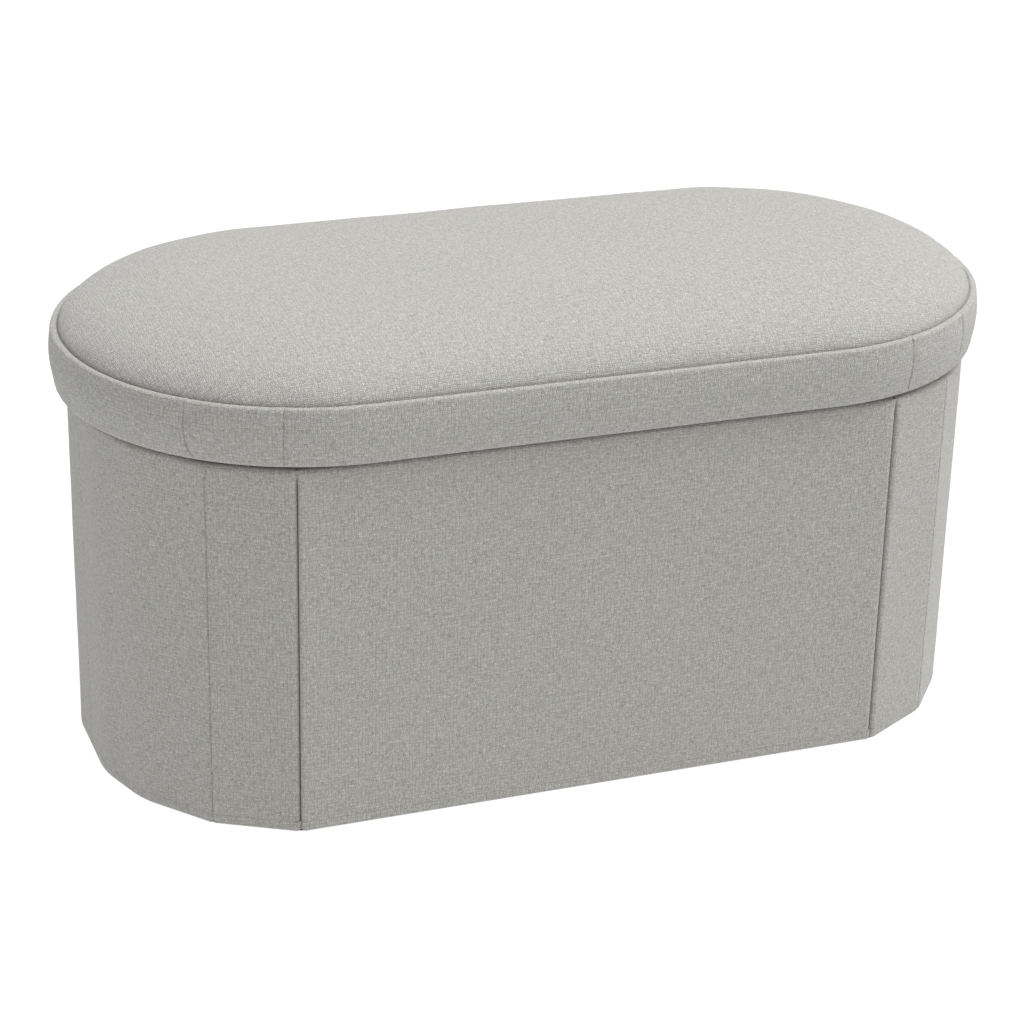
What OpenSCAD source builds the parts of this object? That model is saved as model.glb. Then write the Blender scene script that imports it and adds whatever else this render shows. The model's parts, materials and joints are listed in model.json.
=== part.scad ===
// Fold-flat upholstered storage bench.
// A loose, crowned, padded lid rests on a ring of fabric-covered wall boards.
// The front and back walls are one long panel each. Each rounded end is made of
// eight narrow upright strips that fold inwards between the two long walls, so
// the ring collapses flat once the lid is off. A loose board stiffens the floor.
// Millimetres. X runs along the bench, -Y is the front, Z = 0 is the floor.

/* [Overall size] */
// Length of the lid, which is the widest part
bench_l = 760; // [700:5:820]
// Depth of the lid
bench_w = 390; // [376:2:400]
// Height to the top of the crowned cushion
bench_h = 386; // [370:2:420]
// Height of the wall ring up to the underside of the lid
ring_h = 300; // [260:2:320]

/* [Wall ring] */
// Outer width of the flat front and back walls
front_w = 484; // [476:2:500]
// Outer depth of the ring from front wall to back wall
ring_d = 368; // [356:2:372]
// Total thickness of a padded wall
wall_t = 12; // [10:0.5:13]
// Thickness of the inner lining fabric
lining_t = 0.9; // [0.6:0.1:1.5]
// Thickness of the wall board
board_t = 7.8; // [5:0.2:8]
// Width of the first end strip, next to a long wall
strip_1 = 70; // [66:1:72]
// Width of the second end strip
strip_2 = 68; // [64:1:70]
// Width of the third end strip
strip_3 = 55; // [50:1:58]
// Turn between a long wall and the first strip, degrees
turn_0 = 29; // [27:1:31]
// Turn between the first and second strips, degrees
turn_1 = 22; // [20:1:24]
// Turn between the second and third strips, degrees
turn_2 = 20; // [18:1:22]
// Distance from a fold line to the board faces beside it
fold_gap = 0.3; // [0.2:0.05:0.6]
// Height of the soft hem between the floor and the boards
hem_h = 8; // [6:0.5:12]

/* [Lid] */
// Height of the upright band around the lid
band_h = 48; // [40:1:60]
// Thickness of the lid board
lid_board_t = 9; // [6:1:15]
// Thickness of the upholstery fabric with its backing
fabric_t = 1.5; // [1:0.1:2]
// How far the seam sits in from the band's widest line
seam_inset = 4; // [3:0.5:6]
// Radius of the rolled seam between band and top panel
seam_r = 1.5; // [1:0.1:2]
// Sharpness of the cushion's shoulder
shoulder = 3.2; // [2:0.1:4]
// Number of staples that hold the cover under the lid
staples = 28; // [16:4:40]

/* [Floor board] */
// Thickness of the loose floor board
floor_board_t = 5; // [3:0.5:5]
// Thickness of its fabric cover
floor_cover_t = 0.7; // [0.5:0.1:0.7]
// Gap between the floor board and the walls
floor_gap = 2; // [1:0.5:6]

/* [Hidden] */
$fn = 96;

cover_col = "#a6a5a1";
lid_col = "#cdccc8";
band_col = "#b4b2ad";
lining_col = "#3a3a3c";
board_col = "#b08d62";
foam_col = "#e9dfb8";

// Heights
wall_z0 = hem_h + 0.5;
wall_z1 = ring_h - 1;
seam_z = ring_h + band_h;

// Headings of the front wall and the four strips of one quadrant, measured
// from the long wall's direction; the fourth strip lies square across the end
head = [0, turn_0, turn_0 + turn_1, turn_0 + turn_1 + turn_2, 90];
// Outer corners of the ring in the quadrant +X +Y, from the long wall round
function along(k) = [cos(head[k]), -sin(head[k])];
function outward(k) = [sin(head[k]), cos(head[k])];
c0 = [front_w / 2, ring_d / 2];
c1 = c0 + strip_1 * along(1);
c2 = c1 + strip_2 * along(2);
c3 = c2 + strip_3 * along(3);
c4 = [c3[0], 0];
corners = [c0, c1, c2, c3, c4];
// Fold lines: the same corners on the inner face of the wall, and the last
// fold on the outer face in the middle of the end
function inner_corner(k) =
    let (b = outward(k) + outward(k + 1), l = norm(b))
    corners[k] - wall_t / cos((head[k + 1] - head[k]) / 2) * b / l;
folds = [for (k = [0:3]) inner_corner(k)];
end_in = [c4[0] - wall_t, 0];
fold_pts = concat(folds, [end_in]);
strip_len = [for (k = [1:4]) norm(fold_pts[k] - fold_pts[k - 1])];
long_half = folds[0][0];

// Wall layers, measured outwards from the fold line on the inner face
y_in = fold_gap;
y_board = y_in + lining_t;
y_pad = y_board + board_t;
y_out = wall_t - fold_gap;

// Full outline of the ring, moved in by d on every side
function quadrant(d) = [for (k = [0:3])
    let (b = outward(k) + outward(k + 1), l = norm(b))
    corners[k] - d / cos((head[k + 1] - head[k]) / 2) * b / l];
function ring(d) = let (q = quadrant(d)) concat(
    [for (k = [0:3]) [q[k][0], q[k][1]]],
    [for (k = [3:-1:0]) [q[k][0], -q[k][1]]],
    [for (k = [0:3]) [-q[k][0], -q[k][1]]],
    [for (k = [3:-1:0]) [-q[k][0], q[k][1]]]);

// ---------- wall pieces ----------

// A box of wall number k in its quadrant: s along the wall from the fold line,
// y outwards from the inner face, z up
module layer(k, y0, y1, z0, z1, inset = 0) {
    o = fold_pts[k - 1];
    translate([o[0], o[1], 0])
        rotate([0, 0, -head[k]])
            translate([fold_gap + inset, y0, z0])
                cube([strip_len[k - 1] - 2 * fold_gap - 2 * inset, y1 - y0, z1 - z0]);
}

// side = [1, 1] for the quadrant +X +Y
module place(side) {
    mirror([side[0] > 0 ? 0 : 1, 0, 0])
        mirror([0, side[1] > 0 ? 0 : 1, 0])
            children();
}

module strip_board(side, k) {
    color(board_col) place(side)
        layer(k, y_board, y_pad, wall_z0, wall_z1 - lining_t, 1);
}

// The cover is a pocket round the board, open at the bottom
module strip_cover(side, k) {
    color(cover_col) place(side) difference() {
        layer(k, y_in, y_out, wall_z0, wall_z1);
        layer(k, y_board, y_pad, wall_z0 - 1, wall_z1 - lining_t, 1);
    }
}

module long_layer(side, y0, y1, z0, z1, inset = 0) {
    mirror([0, side > 0 ? 0 : 1, 0])
        translate([-long_half + fold_gap + inset, folds[0][1] + y0, z0])
            cube([2 * (long_half - fold_gap - inset), y1 - y0, z1 - z0]);
}
module long_board(side) color(board_col)
    long_layer(side, y_board, y_pad, wall_z0, wall_z1 - lining_t, 1);
module long_padding(side) color(foam_col)
    long_layer(side, y_pad, y_out - lining_t, wall_z0, wall_z1 - lining_t, 1);
// Outer fabric, turned over the top edge and round both ends
module long_cover(side) color(cover_col) difference() {
    long_layer(side, y_in, y_out, wall_z0, wall_z1);
    long_layer(side, y_board, y_out - lining_t, wall_z0 - 1, wall_z1 - lining_t, 1);
    long_layer(side, y_in - 1, y_board + 0.01, wall_z0 - 1, wall_z1 - lining_t, 1);
}
module long_lining(side) color(lining_col)
    long_layer(side, y_in, y_board, wall_z0, wall_z1 - lining_t, 1);

module front_board() long_board(-1);
module front_padding() long_padding(-1);
module front_cover() long_cover(-1);
module front_lining() long_lining(-1);
module back_board() long_board(1);
module back_padding() long_padding(1);
module back_cover() long_cover(1);
module back_lining() long_lining(1);

// ---------- lid ----------

lid_r = bench_w / 2;
lid_a = bench_l / 2 - lid_r;
under_z = ring_h + 0.8;          // top of the underside lining
flange_z = under_z + 1;          // top of the turned-under band
board_z = flange_z + lid_board_t;

module stadium(r) {
    for (s = [-1, 1]) translate([s * lid_a, 0]) circle(r = r);
    translate([-lid_a, -r]) square([2 * lid_a, 2 * r]);
}

// Sweeps a half profile, x = distance from the lid's long axis, round the lid
module sweep_lid() {
    for (s = [0, 1]) rotate([0, 0, 180 * s]) {
        translate([lid_a, 0, 0]) rotate([0, 0, -90])
            rotate_extrude(angle = 180) children();
        translate([lid_a, 0, 0]) rotate([90, 0, 0]) rotate([0, -90, 0])
            linear_extrude(height = 2 * lid_a) children();
    }
}

// How far the band is in from its widest line at height fraction q
function band_in(q) = q < 0.5
    ? 3 * pow(1 - 2 * q, 2.6)
    : seam_inset * pow(2 * q - 1, 2.4);
band_n = 8;
band_top = seam_z - seam_r - 0.1;
function band_curve(d) = [for (i = [0:band_n])
    let (q = i / band_n, z = under_z + q * (band_top - under_z))
    [lid_r - d - band_in(q), z]];

// The cushion's crown, d = thickness taken off it
crown_n = 22;
crown_z = seam_z + seam_r + 0.1;
function crown(d) = [for (i = [0:crown_n])
    let (u = pow(i / crown_n, 1.7),
         r = (lid_r - seam_inset - 0.2 - d) * (1 - u),
         h = (bench_h - crown_z - d) * pow(1 - pow(1 - u, shoulder), 0.62))
    [max(r, 0), crown_z + h]];

foam_r = lid_r - seam_inset - 0.2 - fabric_t;
function rev(a) = [for (i = [len(a) - 1:-1:0]) a[i]];

module lid_board() color(board_col)
    translate([0, 0, flange_z]) linear_extrude(height = lid_board_t) stadium(lid_r - 6);

module lid_foam() color(foam_col) sweep_lid()
    polygon(concat([[0, board_z], [foam_r, board_z]], crown(fabric_t)));

module lid_top_cover() color(lid_col) sweep_lid()
    polygon(concat(crown(0), rev(crown(fabric_t))));

// Band with its lower edge turned under the board
module band_ring() sweep_lid() {
    polygon(concat(band_curve(0), rev(band_curve(fabric_t))));
    translate([lid_r - 34, under_z]) square([34 - 3 - fabric_t / 2, 1]);
}
seam_x1 = front_w / 2 + 10;
seam_x2 = c1[0] + 13;
module band_part(x0, x1, y0, y1) color(band_col) intersection() {
    band_ring();
    translate([x0, y0, ring_h - 5]) cube([x1 - x0, y1 - y0, band_h + 20]);
}
module lid_band_front() band_part(-seam_x1, seam_x1, -bench_w, 0);
module lid_band_back() band_part(-seam_x1, seam_x1, 0, bench_w);
module lid_band_left() band_part(-bench_l, -seam_x2, -bench_w, bench_w);
module lid_band_right() band_part(seam_x2, bench_l, -bench_w, bench_w);
module lid_band_corner_front_left() band_part(-seam_x2, -seam_x1, -bench_w, 0);
module lid_band_corner_front_right() band_part(seam_x1, seam_x2, -bench_w, 0);
module lid_band_corner_back_left() band_part(-seam_x2, -seam_x1, 0, bench_w);
module lid_band_corner_back_right() band_part(seam_x1, seam_x2, 0, bench_w);

module lid_seam_roll() color(lid_col) sweep_lid()
    translate([lid_r - seam_inset, seam_z]) circle(r = seam_r, $fn = 24);

module lid_underside_lining() color(lining_col)
    translate([0, 0, ring_h]) linear_extrude(height = 0.8) stadium(lid_r - 9);

// Staple crowns in a line parallel to the lid's edge
staple_r = lid_r - 28;
staple_l = 4 * lid_a + 2 * PI * staple_r;
function staple_at(s) =
    s < 2 * lid_a ? [s - lid_a, -staple_r, 0]
    : s < 2 * lid_a + PI * staple_r
        ? let (a = (s - 2 * lid_a) / staple_r * 180 / PI)
          [lid_a + staple_r * sin(a), -staple_r * cos(a), a]
    : s < 4 * lid_a + PI * staple_r
        ? [lid_a - (s - 2 * lid_a - PI * staple_r), staple_r, 180]
    : let (a = (s - 4 * lid_a - PI * staple_r) / staple_r * 180 / PI)
      [-lid_a - staple_r * sin(a), staple_r * cos(a), 180 + a];
module lid_staples() color("silver")
    for (i = [0:staples - 1]) {
        p = staple_at((i + 0.5) * staple_l / staples);
        translate([p[0], p[1], ring_h - 0.5]) rotate([0, 0, p[2]])
            translate([-5, -0.5, 0]) cube([10, 1, 0.5]);
    }

// ---------- floor ----------

module floor_board() color(board_col)
    translate([0, 0, 1.5]) linear_extrude(height = floor_board_t)
        polygon(ring(wall_t + floor_gap));
module floor_board_cover() color(lining_col)
    translate([0, 0, 1.5 + floor_board_t]) linear_extrude(height = floor_cover_t)
        polygon(ring(wall_t + floor_gap));
// Fabric floor with the stitched hem that stands round it
module bottom_tray() color(cover_col) {
    linear_extrude(height = 1.5) polygon(ring(fold_gap));
    linear_extrude(height = hem_h) difference() {
        polygon(ring(fold_gap));
        polygon(ring(wall_t));
    }
}

lid_board();
lid_foam();
lid_top_cover();
lid_band_front();
lid_band_back();
lid_band_left();
lid_band_right();
lid_band_corner_front_left();
lid_band_corner_front_right();
lid_band_corner_back_left();
lid_band_corner_back_right();
lid_seam_roll();
lid_underside_lining();
lid_staples();
front_board();
front_padding();
front_cover();
front_lining();
back_board();
back_padding();
back_cover();
back_lining();
strip_board([-1, -1], 1);  // front_left_strip_1_board
strip_cover([-1, -1], 1);  // front_left_strip_1_cover
strip_board([-1, -1], 2);  // front_left_strip_2_board
strip_cover([-1, -1], 2);  // front_left_strip_2_cover
strip_board([-1, -1], 3);  // front_left_strip_3_board
strip_cover([-1, -1], 3);  // front_left_strip_3_cover
strip_board([-1, -1], 4);  // front_left_strip_4_board
strip_cover([-1, -1], 4);  // front_left_strip_4_cover
strip_board([-1, 1], 1);  // back_left_strip_1_board
strip_cover([-1, 1], 1);  // back_left_strip_1_cover
strip_board([-1, 1], 2);  // back_left_strip_2_board
strip_cover([-1, 1], 2);  // back_left_strip_2_cover
strip_board([-1, 1], 3);  // back_left_strip_3_board
strip_cover([-1, 1], 3);  // back_left_strip_3_cover
strip_board([-1, 1], 4);  // back_left_strip_4_board
strip_cover([-1, 1], 4);  // back_left_strip_4_cover
strip_board([1, -1], 1);  // front_right_strip_1_board
strip_cover([1, -1], 1);  // front_right_strip_1_cover
strip_board([1, -1], 2);  // front_right_strip_2_board
strip_cover([1, -1], 2);  // front_right_strip_2_cover
strip_board([1, -1], 3);  // front_right_strip_3_board
strip_cover([1, -1], 3);  // front_right_strip_3_cover
strip_board([1, -1], 4);  // front_right_strip_4_board
strip_cover([1, -1], 4);  // front_right_strip_4_cover
strip_board([1, 1], 1);  // back_right_strip_1_board
strip_cover([1, 1], 1);  // back_right_strip_1_cover
strip_board([1, 1], 2);  // back_right_strip_2_board
strip_cover([1, 1], 2);  // back_right_strip_2_cover
strip_board([1, 1], 3);  // back_right_strip_3_board
strip_cover([1, 1], 3);  // back_right_strip_3_cover
strip_board([1, 1], 4);  // back_right_strip_4_board
strip_cover([1, 1], 4);  // back_right_strip_4_cover
floor_board();
floor_board_cover();
bottom_tray();
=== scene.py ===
import json
import math
import bmesh
import bpy
import numpy as np
from mathutils import Matrix, Vector
from mathutils.bvhtree import BVHTree


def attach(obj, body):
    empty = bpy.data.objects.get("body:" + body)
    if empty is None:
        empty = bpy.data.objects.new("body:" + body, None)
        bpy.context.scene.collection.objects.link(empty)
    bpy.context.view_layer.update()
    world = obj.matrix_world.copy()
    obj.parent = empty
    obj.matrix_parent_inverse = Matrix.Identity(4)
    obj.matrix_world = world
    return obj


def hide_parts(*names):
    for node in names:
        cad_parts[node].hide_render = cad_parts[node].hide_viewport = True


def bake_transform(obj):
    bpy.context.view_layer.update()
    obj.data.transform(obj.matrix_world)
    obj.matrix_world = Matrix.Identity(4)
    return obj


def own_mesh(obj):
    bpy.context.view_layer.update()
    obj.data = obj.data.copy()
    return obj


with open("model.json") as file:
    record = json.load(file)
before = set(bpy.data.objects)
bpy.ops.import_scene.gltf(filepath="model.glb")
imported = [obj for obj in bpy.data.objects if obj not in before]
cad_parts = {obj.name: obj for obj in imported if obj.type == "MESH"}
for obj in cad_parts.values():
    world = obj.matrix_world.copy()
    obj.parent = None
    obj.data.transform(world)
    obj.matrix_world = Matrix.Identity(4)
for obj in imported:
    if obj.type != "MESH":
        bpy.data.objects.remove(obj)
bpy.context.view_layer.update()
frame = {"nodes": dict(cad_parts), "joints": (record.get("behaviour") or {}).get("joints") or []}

scene = bpy.context.scene
MM = 0.001
rad = math.radians


# ------------------------------------------------------------------ camera
def make_camera():
    az, el, roll = rad(-20.64955), rad(24.00004), rad(1.34323)
    focal, dist, tx, tz = 2828.6, 2.39121, -0.00345, 0.14373
    back = Vector((math.sin(az) * math.cos(el), -math.cos(az) * math.cos(el), math.sin(el)))
    r0 = Vector((math.cos(az), math.sin(az), 0.0))
    u0 = back.cross(r0)
    right = math.cos(roll) * r0 + math.sin(roll) * u0
    up = -math.sin(roll) * r0 + math.cos(roll) * u0
    loc = back * dist + right * tx + up * tz
    data = bpy.data.cameras.new("camera")
    data.sensor_width = 36.0
    data.lens = focal * 36.0 / 1024.0
    data.clip_start, data.clip_end = 0.05, 60.0
    cam = bpy.data.objects.new("camera", data)
    m = Matrix((right, up, back)).transposed().to_4x4()
    m.translation = loc
    cam.matrix_world = m
    scene.collection.objects.link(cam)
    scene.camera = cam


make_camera()


# ------------------------------------------------------------------ shader expressions
class Ex:
    """One scalar in a node tree, with arithmetic."""

    def __init__(self, tree, sock):
        self.t, self.s = tree, sock

    def op(self, kind, *others, clamp=False):
        n = self.t.nodes.new("ShaderNodeMath")
        n.operation, n.use_clamp = kind, clamp
        for i, v in enumerate((self,) + others):
            if isinstance(v, Ex):
                self.t.links.new(v.s, n.inputs[i])
            else:
                n.inputs[i].default_value = float(v)
        return Ex(self.t, n.outputs[0])

    def __add__(self, o): return self.op("ADD", o)
    def __sub__(self, o): return self.op("SUBTRACT", o)
    def __mul__(self, o): return self.op("MULTIPLY", o)
    def floor(self): return self.op("FLOOR")
    def fract(self): return self.op("FRACT")
    def clamp(self): return self.op("ADD", 0.0, clamp=True)


def combine(t, x, y, z=0.0):
    n = t.nodes.new("ShaderNodeCombineXYZ")
    for i, v in enumerate((x, y, z)):
        if isinstance(v, Ex):
            t.links.new(v.s, n.inputs[i])
        else:
            n.inputs[i].default_value = float(v)
    return n.outputs[0]


def noise(t, vec, scale, detail=2.0, rough=0.5):
    n = t.nodes.new("ShaderNodeTexNoise")
    n.inputs["Scale"].default_value = scale
    n.inputs["Detail"].default_value = detail
    n.inputs["Roughness"].default_value = rough
    t.links.new(vec, n.inputs["Vector"])
    return Ex(t, n.outputs["Fac"])


def ramp(t, fac, stops):
    n = t.nodes.new("ShaderNodeValToRGB")
    e = n.color_ramp.elements
    while len(e) < len(stops):
        e.new(0.5)
    for i, (p, c) in enumerate(stops):
        e[i].position = p
        e[i].color = (*c, 1.0)
    t.links.new(fac.s, n.inputs["Fac"])
    return n.outputs["Color"]


def mix_rgb(t, fac, a, b, kind="MIX"):
    n = t.nodes.new("ShaderNodeMix")
    n.data_type, n.blend_type = "RGBA", kind
    for name, v in (("Factor", fac), ("A", a), ("B", b)):
        sock = [s for s in n.inputs if s.name == name and s.enabled][0]
        if isinstance(v, Ex):
            t.links.new(v.s, sock)
        elif isinstance(v, bpy.types.NodeSocket):
            t.links.new(v, sock)
        elif name == "Factor":
            sock.default_value = float(v)
        else:
            sock.default_value = (*v, 1.0)
    return [s for s in n.outputs if s.enabled][0]


def shader(name):
    m = bpy.data.materials.new(name)
    m.use_nodes = True
    t = m.node_tree
    b = t.nodes.get("Principled BSDF")
    return m, t, b


def uv_of(t):
    n = t.nodes.new("ShaderNodeUVMap")
    n.uv_map = "cloth"
    s = t.nodes.new("ShaderNodeSeparateXYZ")
    t.links.new(n.outputs["UV"], s.inputs[0])
    return n.outputs["UV"], Ex(t, s.outputs[0]), Ex(t, s.outputs[1])


def bump(t, b, height, strength, distance):
    n = t.nodes.new("ShaderNodeBump")
    n.inputs["Strength"].default_value = strength
    n.inputs["Distance"].default_value = distance
    t.links.new(height.s, n.inputs["Height"])
    t.links.new(n.outputs["Normal"], b.inputs["Normal"])


def woven(name, dark, mid, light, pitch=0.00135, depth=0.00045, gap=0.62):
    """Two-by-two basket weave of uneven, flecked yarn. Thread lines follow the piece's own cloth map."""
    m, t, b = shader(name)
    vec, u, v = uv_of(t)
    wander = noise(t, vec, 130.0, 2.0)
    wander2 = noise(t, combine(t, v * 1.0 + 3.1, u * 1.0 + 7.7), 140.0, 2.0)
    U = u * (1.0 / pitch) + (wander - 0.5) * 2.2
    V = v * (1.0 / pitch) + (wander2 - 0.5) * 2.2
    fu, fv = U.fract(), V.fract()
    gu, gv = (U * 0.5).fract(), (V * 0.5).fract()
    par = ((U * 0.5).floor() + (V * 0.5).floor()).op("FLOORED_MODULO", 2.0)
    a = fu * 2.0 - 1.0
    c = fv * 2.0 - 1.0
    hw = (a * a * -1.0) + 1.0
    hf = (c * c * -1.0) + 1.0
    bw = (gv * math.pi).op("SINE")
    bf = (gu * math.pi).op("SINE")
    warp = hw * (bw * 0.62 + 0.38)
    weft = hf * (bf * 0.62 + 0.38)
    height = warp * par + weft * (par * -1.0 + 1.0)
    # yarn that is thicker and thinner along its length
    slub_w = noise(t, combine(t, U * 0.9, V * 0.13, 0.0), 1.0, 2.0)
    slub_f = noise(t, combine(t, U * 0.15, V * 0.9, 9.0), 1.0, 2.0)
    slub = slub_w * par + slub_f * (par * -1.0 + 1.0)
    fibre = noise(t, combine(t, U * 1.0, V * 1.0, 4.0), 3.2, 3.0, 0.65)
    h = height * (slub * 0.7 + 0.65) + fibre * 0.22
    fleck = noise(t, combine(t, U * 0.62, V * 0.50, 2.0), 1.0, 2.0, 0.5)
    patch = noise(t, vec, 9.0, 3.0)
    tone = (slub - 0.5) * 0.74 + (fibre - 0.5) * 0.42 + (fleck - 0.5) * 0.52 + (patch - 0.5) * 0.04 + 0.5
    col = ramp(t, tone.clamp(), [(0.12, dark), (0.5, mid), (0.9, light)])
    shade = height * (1.0 - gap) + gap
    col = mix_rgb(t, 1.0, col, combine(t, shade, shade, shade), "MULTIPLY")
    t.links.new(col, b.inputs["Base Color"])
    rough = (fibre * 0.12 + 0.84).clamp()
    t.links.new(rough.s, b.inputs["Roughness"])
    b.inputs["Specular IOR Level"].default_value = 0.22
    b.inputs["Sheen Weight"].default_value = 0.22
    b.inputs["Sheen Roughness"].default_value = 0.55
    bump(t, b, h, 0.75, depth)
    return m


def nonwoven(name, base, light):
    m, t, b = shader(name)
    vec, u, v = uv_of(t)
    f1 = noise(t, vec, 900.0, 3.0, 0.7)
    f2 = noise(t, combine(t, u * 1.0, v * 0.25), 420.0, 2.0, 0.6)
    # spot-bonded web: small round embossed points
    P = 0.0016
    x = (u * (1 / P)).fract() - 0.5
    y = (v * (1 / P) + (u * (1 / P)).floor() * 0.5).fract() - 0.5
    d = (x * x + y * y).op("SQRT")
    dot = (d * -5.0 + 1.35).clamp()
    tone = (f1 * 0.55 + f2 * 0.45 - dot * 0.16).clamp()
    col = ramp(t, tone, [(0.25, base), (0.72, light)])
    t.links.new(col, b.inputs["Base Color"])
    b.inputs["Roughness"].default_value = 0.85
    b.inputs["Specular IOR Level"].default_value = 0.25
    b.inputs["Sheen Weight"].default_value = 0.08
    bump(t, b, f1 * 0.5 - dot * 0.5, 0.5, 0.00025)
    return m


def object_vec(t):
    n = t.nodes.new("ShaderNodeTexCoord")
    return n.outputs["Object"]


def fibreboard(name):
    m, t, b = shader(name)
    o = object_vec(t)
    f = noise(t, o, 620.0, 4.0, 0.7)
    g = noise(t, o, 60.0, 3.0, 0.6)
    col = ramp(t, (f * 0.6 + g * 0.4).clamp(), [(0.3, (0.30, 0.185, 0.095)), (0.5, (0.44, 0.295, 0.165)), (0.72, (0.58, 0.42, 0.26))])
    t.links.new(col, b.inputs["Base Color"])
    b.inputs["Roughness"].default_value = 0.8
    b.inputs["Specular IOR Level"].default_value = 0.3
    bump(t, b, f, 0.35, 0.0003)
    return m


def foam_like(name, a, c, scale):
    m, t, b = shader(name)
    o = object_vec(t)
    n = t.nodes.new("ShaderNodeTexVoronoi")
    n.inputs["Scale"].default_value = scale
    t.links.new(o, n.inputs["Vector"])
    d = Ex(t, n.outputs["Distance"])
    f = noise(t, o, scale * 0.3, 3.0)
    col = ramp(t, (d * 0.8 + f * 0.4).clamp(), [(0.15, a), (0.75, c)])
    t.links.new(col, b.inputs["Base Color"])
    b.inputs["Roughness"].default_value = 0.95
    b.inputs["Specular IOR Level"].default_value = 0.15
    bump(t, b, d, 0.6, 0.0005)
    return m


def zinc(name):
    m, t, b = shader(name)
    o = object_vec(t)
    f = noise(t, o, 800.0, 3.0, 0.6)
    col = ramp(t, f, [(0.3, (0.42, 0.42, 0.43)), (0.7, (0.68, 0.68, 0.70))])
    t.links.new(col, b.inputs["Base Color"])
    b.inputs["Metallic"].default_value = 1.0
    t.links.new((f * 0.25 + 0.25).s, b.inputs["Roughness"])
    bump(t, b, f, 0.2, 0.0001)
    return m


COVER = woven("linen_weave_cover", (0.235, 0.231, 0.216), (0.52, 0.513, 0.482), (0.80, 0.792, 0.755))
LID = woven("linen_weave_lid", (0.245, 0.241, 0.227), (0.515, 0.509, 0.481), (0.79, 0.783, 0.748))
LINING = nonwoven("nonwoven_lining", (0.035, 0.035, 0.037), (0.12, 0.12, 0.124))
BOARD = fibreboard("raw_fibreboard")
FOAM = foam_like("open_cell_foam", (0.55, 0.47, 0.28), (0.86, 0.80, 0.60), 650.0)
WADDING = foam_like("polyester_wadding", (0.62, 0.62, 0.61), (0.9, 0.9, 0.89), 420.0)
ZINC = zinc("zinc_wire")
# a darker copy of the linen weave for the seam in the lid crease: painted shade, since the seam cloth is the same linen
SEAM_SHADED_WEAVE = woven("seam_allowance_painted_shade", (0.15, 0.148, 0.14), (0.30, 0.297, 0.285), (0.46, 0.457, 0.44), pitch=0.0011, depth=0.0003)


# ------------------------------------------------------------------ mesh helpers
def smoothstep(x):
    x = np.clip(x, 0.0, 1.0)
    return x * x * (3 - 2 * x)


def ripple(p, q, seed=0.0):
    """Slow, repeatable unevenness between about -1 and 1; p and q in mm."""
    return (
        np.sin(p * 0.061 + q * 0.037 + 1.3 + seed) * 0.40
        + np.sin(p * 0.113 - q * 0.081 + 4.1 + seed * 2) * 0.28
        + np.sin(p * 0.029 + q * 0.142 + 2.2 + seed * 3) * 0.22
        + np.sin(p * 0.231 + q * 0.190 + 0.7 + seed) * 0.10
    )


def grid_object(name, P, UV, material, flip=False, close_u=False, solid=0.0, weld=2e-5, even=False, planar=False):
    """P: (columns, rows, 3) in mm. Outer side faces away from the piece when columns run clockwise seen from above."""
    nu, nv = P.shape[:2]
    me = bpy.data.meshes.new(name)
    idx = np.arange(nu * nv).reshape(nu, nv)
    nxt = np.roll(idx, -1, axis=0) if close_u else idx[1:]
    cur = idx if close_u else idx[:-1]
    a, b, c, d = cur[:, :-1], nxt[:, :-1], nxt[:, 1:], cur[:, 1:]
    F = np.stack([a, b, c, d], -1).reshape(-1, 4)
    un = UV.copy()
    if close_u:
        step = UV[-1, 0, 0] + UV[1, 0, 0] - 2 * UV[0, 0, 0] if planar is False else 0.0
        un = np.concatenate([UV, UV[:1] + np.array([step, 0.0])], 0)
    k = np.arange(cur.shape[0])[:, None] * np.ones(nv - 1, int)[None]
    r = np.ones(cur.shape[0], int)[:, None] * np.arange(nv - 1)[None]
    LU = np.stack([un[k, r], un[k + 1, r], un[k + 1, r + 1], un[k, r + 1]], 2).reshape(-1, 4, 2)
    if flip:
        F, LU = F[:, ::-1], LU[:, ::-1]
    me.from_pydata((P.reshape(-1, 3) * MM).tolist(), [], F.tolist())
    layer = me.uv_layers.new(name="cloth")
    layer.data.foreach_set("uv", (LU.reshape(-1) * MM).astype(np.float32))
    return finish_mesh(name, me, material, solid, weld, even)


def finish_mesh(name, me, material, solid=0.0, weld=2e-5, even=False):
    bm = bmesh.new()
    bm.from_mesh(me)
    if weld:
        bmesh.ops.remove_doubles(bm, verts=bm.verts, dist=weld)
        bmesh.ops.dissolve_degenerate(bm, edges=bm.edges, dist=1e-6)
    bm.to_mesh(me)
    bm.free()
    me.materials.append(material)
    o = bpy.data.objects.new(name, me)
    scene.collection.objects.link(o)
    if solid:
        mod = o.modifiers.new("shell", "SOLIDIFY")
        mod.thickness, mod.offset, mod.use_even_offset = solid * MM, -1.0, even
        mod.use_quality_normals = True
        apply_all(o)
    for p in o.data.polygons:
        p.use_smooth = True
    o.data.set_sharp_from_angle(angle=rad(50.0))
    return o


def apply_all(o):
    bpy.context.view_layer.update()
    dg = bpy.context.evaluated_depsgraph_get()
    new = bpy.data.meshes.new_from_object(o.evaluated_get(dg), preserve_all_data_layers=True, depsgraph=dg)
    old = o.data
    o.modifiers.clear()
    o.data = new
    new.name = o.name
    bpy.data.meshes.remove(old)


def mirror_q(P, sx, sy):
    Q = P.copy()
    Q[..., 0] *= sx
    Q[..., 1] *= sy
    return Q


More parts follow.
